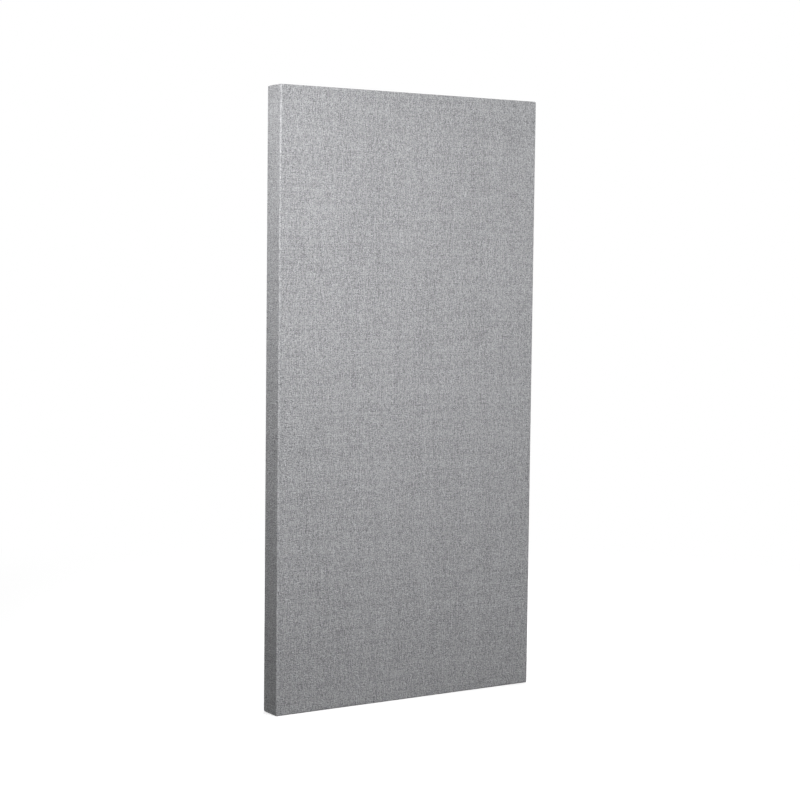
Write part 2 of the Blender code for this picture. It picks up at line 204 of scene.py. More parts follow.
softbox("front_softbox", azimuth=12, elevation=17, distance=1.8, size=0.6, watts=17.4)
softbox("fill_softbox", azimuth=-25, elevation=20, distance=1.8, size=0.6, watts=13.9)
softbox("left_softbox", azimuth=-75, elevation=35, distance=1.3, size=0.6, watts=9.5)
softbox("rear_softbox", azimuth=138, elevation=38, distance=2.6, size=1.4, watts=60)


# The frame is planed softwood, 19 x 48 mm: two full-height stiles, two rails butted between them
# and a thinner crosspiece at mid height. The grain runs along each board.
def new_finish(name, **constants):
    """A material with these fixed values on its shader, and a signal to start its formulas from."""
    finish = bpy.data.materials.new(name)
    finish.use_nodes = True
    shader = finish.node_tree.nodes["Principled BSDF"]
    for socket, value in constants.items():
        shader.inputs[socket.replace("_", " ").title().replace("Ior", "IOR")].default_value = value
    return finish, shader, Signal(finish.node_tree)


def bump(height, depth, strength=1.0):
    """The normal of a relief as deep as depth, in metres, where height goes from 0 to 1."""
    return height.node("ShaderNodeBump", {}, {"Strength": strength, "Distance": depth, "Height": height})


def object_place(start):
    """The X, Y and Z signals of a point on the object, in metres."""
    place = start.node("ShaderNodeTexCoord", output="Object")
    return [start.node("ShaderNodeSeparateXYZ", {}, {0: place}, axis) for axis in "XYZ"]


def vector(x, y, z):
    return x.node("ShaderNodeCombineXYZ", {}, {0: x, 1: y, 2: z})


def noise(place, scale, detail, roughness):
    """Cloudy noise from 0 to 1, with about scale clouds in a metre."""
    sockets = {"Vector": place, "Scale": scale, "Detail": detail, "Roughness": roughness}
    return place.node("ShaderNodeTexNoise", {}, sockets)


def dress(nodes, finish):
    """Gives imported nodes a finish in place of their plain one."""
    for node in nodes:
        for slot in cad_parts[node].material_slots:
            slot.material = finish


WOOD_GLOSS = 0.3
PINE_EARLY = (0.72, 0.53, 0.33)
PINE_LATE = (0.52, 0.33, 0.16)
PINE_ROUGHNESS = 0.75
RINGS_PER_METRE = 210
RING_WANDER = 0.004
PITH_DEPTH = 0.09
GRAIN_STRETCH = 0.05
GRAIN_DEPTH = 0.00012
STREAKS_PER_METRE = 90
PORES_PER_METRE = 900
PORE_SHARE = 0.35
PORE_SHINE = 0.25


def pine(name, upright):
    """Softwood sawn beside the pith: yearly rings across the board, long streaks along it."""
    finish, shader, start = new_finish(name, specular_ior_level=WOOD_GLOSS)
    x, y, z = object_place(start)
    across, along = (x, z) if upright else (z, x)
    grain = vector(across, y, along * GRAIN_STRETCH)
    streaks = noise(grain, STREAKS_PER_METRE, detail=4, roughness=0.5)
    pores = noise(grain, PORES_PER_METRE, detail=3, roughness=0.7)
    radius = (across * across + (y - PITH_DEPTH) ** 2) ** 0.5 + streaks * RING_WANDER
    rings = (radius * (RINGS_PER_METRE * math.tau)).math("SINE") * 0.5 + 0.5
    tone = rings ** 2 * (1 - PORE_SHARE) + pores * PORE_SHARE
    tone.colour(PINE_EARLY, PINE_LATE).feed(shader.inputs["Base Color"])
    (PINE_ROUGHNESS - pores * PORE_SHINE).feed(shader.inputs["Roughness"])
    bump(tone, GRAIN_DEPTH).feed(shader.inputs["Normal"])
    return finish


dress(["left_stile", "right_stile"], pine("pine_upright", True))
dress(["top_rail", "bottom_rail", "mid_brace"], pine("pine_crosswise", False))

# The corner gussets are sawn from 6 mm plywood: a faint face grain, and on their sawn edges the
# light and dark layers of five plies.
PLY_THICKNESS = 0.0012
PLY_LIGHT = (0.70, 0.53, 0.35)
PLY_DARK = (0.42, 0.27, 0.14)
PLY_SHARE = 0.45
GLUE_LINE = (0.35, 0.65)
FACE_SHARE = 0.6
FACE_GRAINS_PER_METRE = 220
FACE_STRETCH = (4, 0.08)
FACE_DEPTH = 0.0001
FACE_ROUGHNESS = 0.6
FACE_ROUGHNESS_SPREAD = 0.2

plywood, shader, start = new_finish("plywood", specular_ior_level=WOOD_GLOSS)
x, y, z = object_place(start)
plies = (y * (math.pi / PLY_THICKNESS)).math("SINE") * 0.5 + 0.5
face_place = vector(x, y * FACE_STRETCH[0], z * FACE_STRETCH[1])
face = noise(face_place, FACE_GRAINS_PER_METRE, detail=4, roughness=0.6)
tone = plies.rise(*GLUE_LINE) * PLY_SHARE + face * FACE_SHARE
tone.colour(PLY_LIGHT, PLY_DARK).feed(shader.inputs["Base Color"])
(face * FACE_ROUGHNESS_SPREAD + FACE_ROUGHNESS).feed(shader.inputs["Roughness"])
bump(face, FACE_DEPTH).feed(shader.inputs["Normal"])
dress([f"gusset_{end}_{side}" for end in ("top", "bottom") for side in ("left", "right")], plywood)

# The frame's screws are countersunk and zinc plated. Bright zinc is a little mottled, with rougher
# patches where it was handled; the hanging hardware has the same plating.
ZINC_BRIGHT = (0.60, 0.61, 0.63)
ZINC_DULL = (0.38, 0.39, 0.41)
ZINC_ROUGHNESS = 0.16
MOTTLES_PER_METRE = 350
MOTTLE_RANGE = (0.3, 0.75)
MOTTLE_ROUGHNESS = 0.22
SCUFFS_PER_METRE = 4000
SCUFF_ROUGHNESS = 0.12
SCUFF_DEPTH = 0.00001

zinc, shader, start = new_finish("zinc", metallic=1.0)
place = start.node("ShaderNodeTexCoord", output="Object")
mottle = noise(place, MOTTLES_PER_METRE, detail=3, roughness=0.6)
scuffs = noise(place, SCUFFS_PER_METRE, detail=2, roughness=0.7)
mottle.rise(*MOTTLE_RANGE).colour(ZINC_BRIGHT, ZINC_DULL).feed(shader.inputs["Base Color"])
rough = mottle * MOTTLE_ROUGHNESS + scuffs * SCUFF_ROUGHNESS + ZINC_ROUGHNESS
rough.feed(shader.inputs["Roughness"])
bump(scuffs, SCUFF_DEPTH).feed(shader.inputs["Normal"])
dress([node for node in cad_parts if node.startswith(("frame_screw", "brace_screw"))], zinc)

# The core is a pressed board of mineral wool, cut to fill the frame: pale fibres matted in layers,
# with a soft, uneven cut face.
WOOL_LIGHT = (0.58, 0.55, 0.36)
WOOL_DARK = (0.30, 0.27, 0.13)
WOOL_RANGE = (0.3, 0.7)
WOOL_DEPTH = 0.0008
WOOL_LAYERS_PER_METRE = 60
WOOL_LAYER_STRETCH = 3
WOOL_FIBRES_PER_METRE = 1400
WOOL_FIBRE_SHARE = 0.4

mineral_wool, shader, start = new_finish("mineral_wool", roughness=1.0, specular_ior_level=0.1)
x, y, z = object_place(start)
layer_place = vector(x, y * WOOL_LAYER_STRETCH, z)
layers = noise(layer_place, WOOL_LAYERS_PER_METRE, detail=6, roughness=0.65)
fibres = noise(vector(x, y, z), WOOL_FIBRES_PER_METRE, detail=3, roughness=0.8)
tone = layers * (1 - WOOL_FIBRE_SHARE) + fibres * WOOL_FIBRE_SHARE
tone.rise(*WOOL_RANGE).colour(WOOL_DARK, WOOL_LIGHT).feed(shader.inputs["Base Color"])
bump(tone, WOOL_DEPTH).feed(shader.inputs["Normal"])
dress(["core_board"], mineral_wool)


# The scrim is thin white glass tissue, laid over the front of the frame and the core so that no
# fibre works through the cloth. It is one flat sheet, cut short of the rounded edge.
QUARTER_TURN = math.radians(90)
FACING_WALL = (-QUARTER_TURN, 0, 0)


def add_piece(name):
    """Names the primitive that was just added, with its place moved into its mesh."""
    piece = bpy.context.object
    piece.name = name
    bpy.ops.object.transform_apply(location=True, rotation=True, scale=True)
    return piece


def add_sheet(name, low, high, cells):
    """A flat grid at the front of a box, facing the wall."""
    bpy.ops.object.select_all(action="DESELECT")
    bpy.ops.mesh.primitive_grid_add(
        x_subdivisions=cells[0],
        y_subdivisions=cells[1],
        size=1,
        location=((low.x + high.x) / 2, low.y, (low.z + high.z) / 2),
        rotation=FACING_WALL,
    )
    bpy.context.object.scale = (high.x - low.x, high.z - low.z, 1)
    return add_piece(name)


def apply_modifier(piece, kind, **settings):
    """Adds a modifier with these settings and applies it."""
    modifier = piece.modifiers.new(kind.lower(), kind)
    for name, value in settings.items():
        setattr(modifier, name, value)
    bpy.context.view_layer.objects.active = piece
    bpy.ops.object.modifier_apply(modifier=modifier.name)


def give_finish(piece, finish):
    """Gives a new piece its one material, in its only slot."""
    piece.data.materials.clear()
    piece.data.materials.append(finish)


SCRIM_CELLS = (24, 48)
TISSUE_WHITE = (0.80, 0.80, 0.77)
TISSUE_SHADE = (0.60, 0.60, 0.57)
TISSUE_RANGE = (0.35, 0.65)
TISSUE_DEPTH = 0.0001
STRANDS_PER_METRE = 700
STRAND_STRETCH = 0.1

glass_tissue, shader, start = new_finish("glass_tissue", roughness=0.9, specular_ior_level=0.3)
x, y, z = object_place(start)
upright = noise(vector(x, y, z * STRAND_STRETCH), STRANDS_PER_METRE, detail=3, roughness=0.7)
crosswise = noise(vector(x * STRAND_STRETCH, y, z), STRANDS_PER_METRE, detail=3, roughness=0.7)
strands = ((upright + crosswise) * 0.5).rise(*TISSUE_RANGE)
strands.colour(TISSUE_SHADE, TISSUE_WHITE).feed(shader.inputs["Base Color"])
bump(strands, TISSUE_DEPTH).feed(shader.inputs["Normal"])

low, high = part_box("front_scrim")
scrim = add_sheet("front_tissue", low, high, SCRIM_CELLS)
apply_modifier(scrim, "SOLIDIFY", thickness=high.y - low.y, offset=1)
give_finish(scrim, glass_tissue)
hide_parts("front_scrim")
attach(scrim, "panel")

# The cover is one piece of plain-woven heather polyester. It is pulled over the front and round
# the four sides, and turned 18 mm on to the back, where it is stapled. At its corners the cloth of
# the top and bottom lies folded over that of the sides, which leaves a shallow step beside them.
CLOTH_THICKNESS = 0.0008
CLOTH_RETURN = 0.018
CLOTH_EDGE = 0.003
EDGE_STEPS = 6
COVER_CELL = 0.03
FOLD_INSET = 0.0042
FOLD_WIDTH = 0.0003
FOLD_STEP = 0.0008
FOLD_TAPER = 0.03

# Sizes of the yarns and of what varies along and across them, in metres
WARP_PITCH = 0.0016
WEFT_PITCH = 0.0016
DRIFT_WIDTH = 0.005
DRIFT_LENGTH = 0.035
STREAK_LENGTH = 0.014
SLUB_LENGTH = 0.005
SHADE_LENGTH = 0.2
BAND_WIDTH = 0.04
BAND_LENGTH = 0.8
THICK_LENGTH = 0.0055
THICK_HEIGHT = 0.0026
FIBRE_WIDTH = 0.00016
FIBRE_LENGTH = 0.0022
WEAVE_DEPTH = 0.0002
ARRIS_HIGHLIGHT_REACH = 0.003

# How far yarns wander, in pitches, how their fibres slant, and where each reads its own noise
YARN_DRIFT = 0.9
YARN_TWIST = 0.3
WEFT_DRIFT_START = 60
WARP_STREAK_STEP = 7.31
WARP_SHADE_STEP = 3.17
WEFT_SLUB_STEP = 5.73
WEFT_SHADE_STEP = 4.39

# What each brings to the tone, between the dark yarns and the light ones, and to the relief
YARN_DARK = (0.1495, 0.151, 0.158)
YARN_LIGHT = (0.581, 0.584, 0.599)
TONE_MIDDLE = 0.5
FLECK_TONE = 0.38
STREAK_TONE = 2.05
STREAK_CONTRAST = 0.2
WARP_SHADE_TONE = 0.66
SLUB_TONE = 1.5
WEFT_SHADE_TONE = 0.8
BAND_TONE = 0.06
NEP_RANGE = (0.44, 0.5)
NEP_TONE = 0.3
FIBRE_TONE = 0.9
# The front arrises get a painted highlight, which lightens their colour
ARRIS_PAINTED_HIGHLIGHT = 0.09
# The gaps between the yarns get painted shade, and their crowns painted light
PAINTED_GAP_SHADE = 0.46
PAINTED_CROWN_LIGHT = 0.7
YARN_RELIEF = 1.5
FIBRE_RELIEF = 0.4
THICK_RELIEF = 5
NOISE_PLANE = {"noise_dimensions": "2D"}


def soft(x, y, detail=0):
    """Smooth noise of both signs, one unit in size, with that many finer layers."""
    sockets = {"Vector": vector(x, y, 0), "Scale": 1, "Detail": detail, "Roughness": 0.7}
    return x.node("ShaderNodeTexNoise", NOISE_PLANE, sockets) - 0.5


def fleck(column, row):
    """Noise of both signs, with one value for each column and row."""
    return column.node("ShaderNodeTexWhiteNoise", NOISE_PLANE, {"Vector": vector(column, row, 0)}) - 0.5


def heather_weave(fold):
    """Plain weave on the cut's own coordinates: warp up the panel, weft across it.

    The cloth turns over the front edges along the lines fold, where a painted highlight lightens its
    colour.
    """
    finish, shader, start = new_finish(
        "heather_cloth", roughness=0.8, specular_ior_level=0.15, sheen_weight=0.05, sheen_roughness=0.4
    )
    cut = start.node("ShaderNodeUVMap", {"uv_map": "cut"})
    across, along = (start.node("ShaderNodeSeparateXYZ", {}, {0: cut}, axis) for axis in "XY")

    # Each yarn has its number, and rises and dips over the yarns that it crosses
    warp_drift = soft(across / DRIFT_WIDTH, along / DRIFT_LENGTH)
    weft_drift = soft(across / DRIFT_LENGTH, along / DRIFT_WIDTH + WEFT_DRIFT_START)
    warp_count = across / WARP_PITCH + warp_drift * YARN_DRIFT
    weft_count = along / WEFT_PITCH + weft_drift * YARN_DRIFT
    column = warp_count.math("FLOOR")
    row = weft_count.math("FLOOR")
    warp_side = 1 - column.math("FLOORED_MODULO", 2) * 2
    weft_side = 1 - row.math("FLOORED_MODULO", 2) * 2
    warp_round = ((warp_count - column) * math.pi).math("SINE")
    weft_round = ((weft_count - row) * math.pi).math("SINE")
    warp_lift = 0.5 - (weft_count * math.pi).math("SINE") * warp_side * 0.5
    weft_lift = 0.5 + (warp_count * math.pi).math("SINE") * weft_side * 0.5
    warp_height = warp_round ** 0.5 * warp_lift
    weft_height = weft_round ** 0.5 * weft_lift
    height = warp_height.math("MAXIMUM", weft_height)
    warp_on_top = warp_height.math("GREATER_THAN", weft_height)
    weft_on_top = 1 - warp_on_top

    # One tone for each float, a yarn's run over one crossing; the palest are knots of fibre
    warp_fleck = fleck(column, ((weft_count - warp_side * 0.5) * 0.5).math("FLOOR"))
    weft_fleck = fleck(((warp_count + weft_side * 0.5) * 0.5).math("FLOOR") + 0.5, row)
    flecks = warp_on_top * warp_fleck + weft_on_top * weft_fleck
    neps = flecks.rise(*NEP_RANGE)

    # Streaks and slubs along the yarns, and slow shades along and across them
    streak_place = along / STREAK_LENGTH
    streak = soft(column * WARP_STREAK_STEP, streak_place, detail=2)
    streak_before = soft((column - 1) * WARP_STREAK_STEP, streak_place, detail=2)
    streak_after = soft((column + 1) * WARP_STREAK_STEP, streak_place, detail=2)
    streak = streak - (streak_before + streak_after) * STREAK_CONTRAST
    slub = soft(across / SLUB_LENGTH, row * WEFT_SLUB_STEP, detail=1)
    warp_shade = soft(column * WARP_SHADE_STEP, along / SHADE_LENGTH, detail=3)
    weft_shade = soft(across / SHADE_LENGTH, row * WEFT_SHADE_STEP, detail=3)
    warp_band = soft(across / BAND_WIDTH, along / BAND_LENGTH)
    weft_band = soft(across / BAND_LENGTH, along / BAND_WIDTH)

    # Fibres lie along each yarn, a little twisted
    warp_fibres = soft((across + along * YARN_TWIST) / FIBRE_WIDTH, along / FIBRE_LENGTH)
    weft_fibres = soft(across / FIBRE_LENGTH, (along + across * YARN_TWIST) / FIBRE_WIDTH)
    fibres = warp_on_top * warp_fibres + weft_on_top * weft_fibres

    fold_across = (across.math("ABSOLUTE") - fold.x).math("ABSOLUTE")
    fold_along = (along.math("ABSOLUTE") - fold.z).math("ABSOLUTE")
    # Painted highlight: the colour is lightened within a few millimetres of the four front arrises
    arris_highlight = 1 - fold_across.math("MINIMUM", fold_along).rise(ARRIS_HIGHLIGHT_REACH / 2, ARRIS_HIGHLIGHT_REACH)

    tone = flecks * FLECK_TONE + warp_on_top * (streak * STREAK_TONE + warp_shade * WARP_SHADE_TONE)
    tone = tone + weft_on_top * (slub * SLUB_TONE + weft_shade * WEFT_SHADE_TONE)
    tone = tone + (warp_band + weft_band) * BAND_TONE + TONE_MIDDLE
    tone = tone + arris_highlight * ARRIS_PAINTED_HIGHLIGHT + neps * NEP_TONE + fibres * FIBRE_TONE
    # Painted shade: the colour darkens from each yarn's crown down into the gaps between the yarns
    tone = tone * (height * PAINTED_CROWN_LIGHT + PAINTED_GAP_SHADE)
    tone.colour(YARN_DARK, YARN_LIGHT).feed(shader.inputs["Base Color"])
    thick_weft = soft(across / THICK_LENGTH, along / THICK_HEIGHT)
    relief = height * YARN_RELIEF + fibres * FIBRE_RELIEF + thick_weft * THICK_RELIEF
    bump(relief, WEAVE_DEPTH, strength=0.9).feed(shader.inputs["Normal"])
    return finish


def edit(piece, mode="FACE"):
    """Opens one piece in edit mode with nothing in it selected."""
    bpy.ops.object.select_all(action="DESELECT")
    piece.select_set(True)
    bpy.context.view_layer.objects.active = piece
    bpy.ops.object.mode_set(mode="EDIT")
    bpy.ops.mesh.select_mode(type=mode)
    bpy.ops.mesh.select_all(action="DESELECT")


def select_faces(piece, test):
    """Selects the faces that pass the test, and no others."""
    shape = bmesh.from_edit_mesh(piece.data)
    for face in shape.faces:
        face.select_set(test(face))
    bmesh.update_edit_mesh(piece.data)


def faces_wall(face):
    """Whether a face looks straight back, to the wall."""
    return face.normal.y > 0.9


def faces_room(face):
    """Whether a face looks straight forward, into the room."""
    return face.normal.y < -0.9


def bisect_all(place, normal):
    """Cuts the whole mesh along a plane and keeps both sides."""
    bpy.ops.mesh.select_all(action="SELECT")
    bpy.ops.mesh.bisect(plane_co=place, plane_no=normal)


def wrapped(across, depth, half, total):
    """How far a point on the wrapped cloth lies from the cut's middle line, in metres."""
    flat = half - CLOTH_EDGE
    edge_run = QUARTER_TURN * CLOTH_EDGE
    if depth < CLOTH_EDGE and across > flat:
        return flat + math.atan2(across - flat, CLOTH_EDGE - depth) * CLOTH_EDGE
    if depth <= CLOTH_EDGE:
        return across
    if depth <= total - CLOTH_EDGE:
        return flat + edge_run + depth - CLOTH_EDGE
    side = flat + edge_run + total - 2 * CLOTH_EDGE
    if across > flat:
        return side + math.atan2(depth - total + CLOTH_EDGE, across - flat) * CLOTH_EDGE
    return side + edge_run + flat - across


low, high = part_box("fabric_cover")
high.y -= CLOTH_THICKNESS
middle = (low + high) / 2
half = (high - low) / 2
bpy.ops.object.select_all(action="DESELECT")
bpy.ops.mesh.primitive_cube_add(size=1, location=middle, scale=high - low)
cover = add_piece("cloth_cover")
edit(cover)
select_faces(cover, faces_wall)
bpy.ops.mesh.inset(thickness=CLOTH_RETURN)
bpy.ops.mesh.delete(type="FACE")
for axis, reach in ((Vector((1, 0, 0)), half.x), (Vector((0, 0, 1)), half.z)):
    count = round(reach / COVER_CELL)
    for step in range(1 - count, count):
        bisect_all(axis * (step * reach / count), axis)
fold_line = half.x - FOLD_INSET
for place in (fold_line - FOLD_WIDTH, fold_line, -fold_line, FOLD_WIDTH - fold_line):
    bisect_all((place, 0, 0), (1, 0, 0))
bpy.ops.object.mode_set(mode="OBJECT")
apply_modifier(cover, "BEVEL", width=CLOTH_EDGE, segments=EDGE_STEPS, limit_method="ANGLE")
cover_cut = cover.data.uv_layers.new(name="cut")
for face in cover.data.polygons:
    on_end = abs(face.normal.z) > abs(face.normal.x)
    for loop in face.loop_indices:
        point = cover.data.vertices[cover.data.loops[loop].vertex_index].co - middle
        depth = point.y + half.y
        x, z = point.x, point.z
        if on_end:
            z = math.copysign(wrapped(abs(z), depth, half.z, 2 * half.y), z)
        else:
            x = math.copysign(wrapped(abs(x), depth, half.x, 2 * half.y), x)
        cover_cut.data[loop].uv = (x, z)
for vert in cover.data.vertices:
    place = vert.co - middle
    beyond = abs(place.z) - half.z + CLOTH_EDGE
    behind = place.y + half.y - CLOTH_EDGE
    if abs(place.x) > fold_line - FOLD_WIDTH / 2 and beyond > 0 and behind > 0:
        step = FOLD_STEP * min(beyond / CLOTH_EDGE, 1) * min(behind / FOLD_TAPER, 1)
        vert.co.z -= math.copysign(step, place.z)
apply_modifier(cover, "SOLIDIFY", thickness=CLOTH_THICKNESS, offset=-1, use_even_offset=True)
cover.data.shade_smooth()
apply_modifier(cover, "WEIGHTED_NORMAL", keep_sharp=True)
over_edge = CLOTH_EDGE * (QUARTER_TURN / 2 - 1)
heather_cloth = heather_weave(half + Vector((over_edge, 0, over_edge)))
give_finish(cover, heather_cloth)
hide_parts("fabric_cover")
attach(cover, "panel")

# At each back corner the cloth of the end folds over the cloth of the side in one flat pleat, with
# its mitre on the corner's diagonal. The frame's staples, under the dust cover, hold it down.
PLEAT_REACH = 0.017


def smooth_by_angle(piece, degrees):
    """Shades one piece smooth, but for edges sharper than this."""
    bpy.ops.object.select_all(action="DESELECT")
    piece.select_set(True)
    bpy.context.view_layer.objects.active = piece
    bpy.ops.object.shade_smooth_by_angle(angle=math.radians(degrees))


def add_pleat(name, corner, side_sign, end_sign):
    """A square of cloth on the corner of the back, cut along the diagonal."""
    centre = (PLEAT_REACH + CLOTH_EDGE) / 2
    place = corner - Vector((side_sign * centre, 0, end_sign * centre))
    bpy.ops.object.select_all(action="DESELECT")
    bpy.ops.mesh.primitive_plane_add(
        size=PLEAT_REACH - CLOTH_EDGE, location=place, rotation=FACING_WALL
    )
    pleat = add_piece(name)
    edit(pleat)
    bpy.ops.mesh.select_all(action="SELECT")
    bpy.ops.mesh.bisect(plane_co=corner, plane_no=(side_sign, 0, -end_sign), clear_outer=True)
    bpy.ops.object.mode_set(mode="OBJECT")
    pleat_cut = pleat.data.uv_layers.new(name="cut")
    for face in pleat.data.polygons:
        for loop in face.loop_indices:
            point = pleat.data.vertices[pleat.data.loops[loop].vertex_index].co
            pleat_cut.data[loop].uv = (point.x, -point.z)
    apply_modifier(pleat, "SOLIDIFY", thickness=CLOTH_THICKNESS, offset=1)
    apply_modifier(pleat, "BEVEL", width=CLOTH_THICKNESS / 3, segments=2)
    smooth_by_angle(pleat, degrees=40)
    give_finish(pleat, heather_cloth)
    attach(pleat, "panel")
    return pleat


for end, end_sign in (("top", 1), ("bottom", -1)):
    for side, side_sign in (("left", -1), ("right", 1)):
        corner = Vector((side_sign * half.x, high.y, end_sign * half.z))
        add_pleat(f"pleat_{end}_{side}", corner, side_sign, end_sign)

# The dust cover is black spun-bonded polypropylene, a thin felt stamped with small bond points. It
# is stapled over the open back, a little slack, and puckers between its staples.
DUST_CELLS = (96, 192)
STAPLE_PITCH = 0.062
PUCKER_HEIGHT = 0.0011
PUCKER_REACH = 0.034
HELD_PLACES = ((0.2912, 0.442), (0.2848, 0.5896), (0.2848, -0.5896))
HELD_REACH = 0.022
BOARD_REACH = 0.0145
SLACK_DEPTH = 0.0018
SLACK_RUN = 0.05
SLACK_WAVE = 0.4
SLACK_WAVES = ((9, 3.1, 0.6), (-4.7, 5.3, 1.9))
FELT_BLACK = (0.012, 0.012, 0.013)
FELT_GREY = (0.045, 0.045, 0.047)
FELT_RANGE = (0.2, 0.75)
FELT_ROUGHNESS = 0.8
FELT_DEPTH = 0.00015
CLOUDS_PER_METRE = 55
CLOUD_TONE = 0.45
FELT_FIBRES_PER_METRE = 2600
FELT_FIBRE_TONE = 0.55
FELT_FIBRE_RELIEF = 0.3
BOND_PITCH = 0.0019
BOND_RANGE = (0.15, 0.3)
BOND_TONE = 0.2
BOND_SHINE = 0.3


def slack(x, z, half_width, half_height):
    """How far the felt stands off its flat plane: out at a pucker, in where nothing backs it."""
    near_side = half_width - abs(x)
    near_end = half_height - abs(z)
    rim = min(near_side, near_end)
    run = z if near_side < near_end else x
    pucker = PUCKER_HEIGHT * (0.5 - 0.5 * math.cos(math.tau * run / STAPLE_PITCH))
    pucker *= math.exp(-((rim / PUCKER_REACH) ** 2))
    for held_x, held_z in HELD_PLACES:
        away = math.hypot(abs(x) - held_x, z - held_z)
        pucker *= min(max(away / HELD_REACH - 1, 0), 1)
    free = min(max((rim - BOARD_REACH) / SLACK_RUN, 0), 1)
    waves = math.prod(math.sin(aside * x + up * z + shift) for aside, up, shift in SLACK_WAVES)
    return pucker - SLACK_DEPTH * free * (1 - SLACK_WAVE + SLACK_WAVE * waves)


low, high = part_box("dust_cover")
dust_cover = add_sheet("dust_cover_felt", low, high, DUST_CELLS)
for vert in dust_cover.data.vertices:
    vert.co.y += slack(vert.co.x, vert.co.z, high.x, high.z)
apply_modifier(dust_cover, "SOLIDIFY", thickness=high.y - low.y, offset=1)
smooth_by_angle(dust_cover, degrees=40)

non_woven, shader, start = new_finish("non_woven", specular_ior_level=0.35)
x, y, z = object_place(start)
first = (x + z) / BOND_PITCH
second = (x - z) / BOND_PITCH
first = (first - first.math("FLOOR") - 0.5).math("ABSOLUTE")
second = (second - second.math("FLOOR") - 0.5).math("ABSOLUTE")
bonds = 1 - first.math("MAXIMUM", second).rise(*BOND_RANGE)
clouds = noise(vector(x, y, z), CLOUDS_PER_METRE, detail=4, roughness=0.6)
fibres = noise(vector(x, y, z), FELT_FIBRES_PER_METRE, detail=3, roughness=0.8)
tone = fibres * FELT_FIBRE_TONE + clouds * CLOUD_TONE - bonds * BOND_TONE
tone.rise(*FELT_RANGE).colour(FELT_BLACK, FELT_GREY).feed(shader.inputs["Base Color"])
(FELT_ROUGHNESS - bonds * BOND_SHINE).feed(shader.inputs["Roughness"])
bump(fibres * FELT_FIBRE_RELIEF - bonds + 1, FELT_DEPTH).feed(shader.inputs["Normal"])
give_finish(dust_cover, non_woven)
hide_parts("dust_cover")
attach(dust_cover, "panel")

# Galvanised wire staples hold the dust cover, one about every 62 mm and 5 mm in from its edge.
# They go through felt and cloth into the boards, and none is quite straight.
STAPLE_INSET = 0.005
STAPLE_CROWN = 0.010
STAPLE_WIRE_WIDTH = 0.0009
STAPLE_WIRE_DEPTH = 0.0006
STAPLE_LEG = 0.007
STAPLE_SINK = 0.0002
STAPLE_SHIFT = 0.0012
STAPLE_TILT = 0.1
STAPLE_SEED = 12
CORNER_CLEAR = 0.028
HANGER_CLEAR = (0.415, 0.475)


def extrude(x, y, z):
    """Extrudes what is selected, by this much."""
    bpy.ops.mesh.extrude_context_move(TRANSFORM_OT_translate={"value": (x, y, z)})


def copy_piece(piece, name, place):
    """A copy with its own mesh, moved by the matrix place."""
    copy = piece.copy()
    copy.data = piece.data.copy()
    copy.name = name
    copy.data.transform(place)
    bpy.context.scene.collection.objects.link(copy)
    return copy


bpy.ops.object.select_all(action="DESELECT")
bpy.ops.mesh.primitive_cube_add(size=1, scale=(STAPLE_CROWN, STAPLE_WIRE_DEPTH, STAPLE_WIRE_WIDTH))
staple = add_piece("staple")
edit(staple)
leg_start = STAPLE_CROWN / 2 - STAPLE_WIRE_DEPTH
for sign in (-1, 1):
    bisect_all((sign * leg_start, 0, 0), (1, 0, 0))
select_faces(staple, lambda face: faces_room(face) and abs(face.calc_center_median().x) > leg_start)
extrude(0, -STAPLE_LEG, 0)
bpy.ops.object.mode_set(mode="OBJECT")
apply_modifier(staple, "BEVEL", width=STAPLE_WIRE_DEPTH / 3, segments=2, limit_method="ANGLE")
smooth_by_angle(staple, degrees=40)

rng = random.Random(STAPLE_SEED)
staple_y = high.y + STAPLE_WIRE_DEPTH / 2 - STAPLE_SINK
for edge, upright, sign in (("left", 1, -1), ("right", 1, 1), ("top", 0, 1), ("bottom", 0, -1)):
    run = high.z if upright else high.x
    off = sign * ((high.x if upright else high.z) - STAPLE_INSET)
    count = math.floor((run - CORNER_CLEAR) / STAPLE_PITCH)
    row = []
    for step in range(-count, count + 1):
        along = step * STAPLE_PITCH
        if upright and HANGER_CLEAR[0] < along < HANGER_CLEAR[1]:
            continue
        across = off + rng.uniform(-STAPLE_SHIFT, STAPLE_SHIFT)
        tilt = rng.uniform(-STAPLE_TILT, STAPLE_TILT) + QUARTER_TURN * upright
        place = (across, staple_y, along) if upright else (along, staple_y, across)
        turned = Matrix.Translation(place) @ Matrix.Rotation(tilt, 4, "Y")
        row.append(copy_piece(staple, f"staple_{edge}", turned))
    bpy.ops.object.select_all(action="DESELECT")
    for copy in row:
        copy.select_set(True)
    bpy.context.view_layer.objects.active = row[0]
    bpy.ops.object.join()
    staples = row[0]
    staples.name = f"staples_{edge}"
    give_finish(staples, zinc)
    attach(staples, "panel")
bpy.data.objects.remove(staple)

# Each hanger is a stamped steel strap with its top end rolled into an eye for the ring's bar. The
# strip is 1 mm thick with a rounded foot, and is bored for two screws.
STRAP_WIDTH = 0.010
STRAP_THICKNESS = 0.001
STRAP_LENGTH = 0.038
STRAP_FOOT = 0.0035
STRAP_ARRIS = 0.00015
EYE_RADIUS = 0.00185
EYE_PLACE = Vector((0.2912, -0.00365, 0.4596))
EYE_CURL = math.radians(290)
EYE_STEPS = 30
SCREW_DROPS = {"upper": 0.020, "lower": 0.032}
BORE_RADIUS = 0.0018
BORE_DEPTH = 0.006
NEAR = 0.0001
MERGE_DISTANCE = 0.00001


def select_verts(piece, test):
    """Selects the points whose place passes the test and the edges between them, and no others."""
    bpy.ops.mesh.select_all(action="DESELECT")
    shape = bmesh.from_edit_mesh(piece.data)
    for vert in shape.verts:
        vert.select_set(test(vert.co))
    shape.select_flush(True)
    bmesh.update_edit_mesh(piece.data)


def cut_away(piece, cutter):
    """Takes the cutter's shape out of the piece, and removes the cutter."""
    apply_modifier(piece, "BOOLEAN", operation="DIFFERENCE", object=cutter, solver="EXACT")
    bpy.data.objects.remove(cutter)


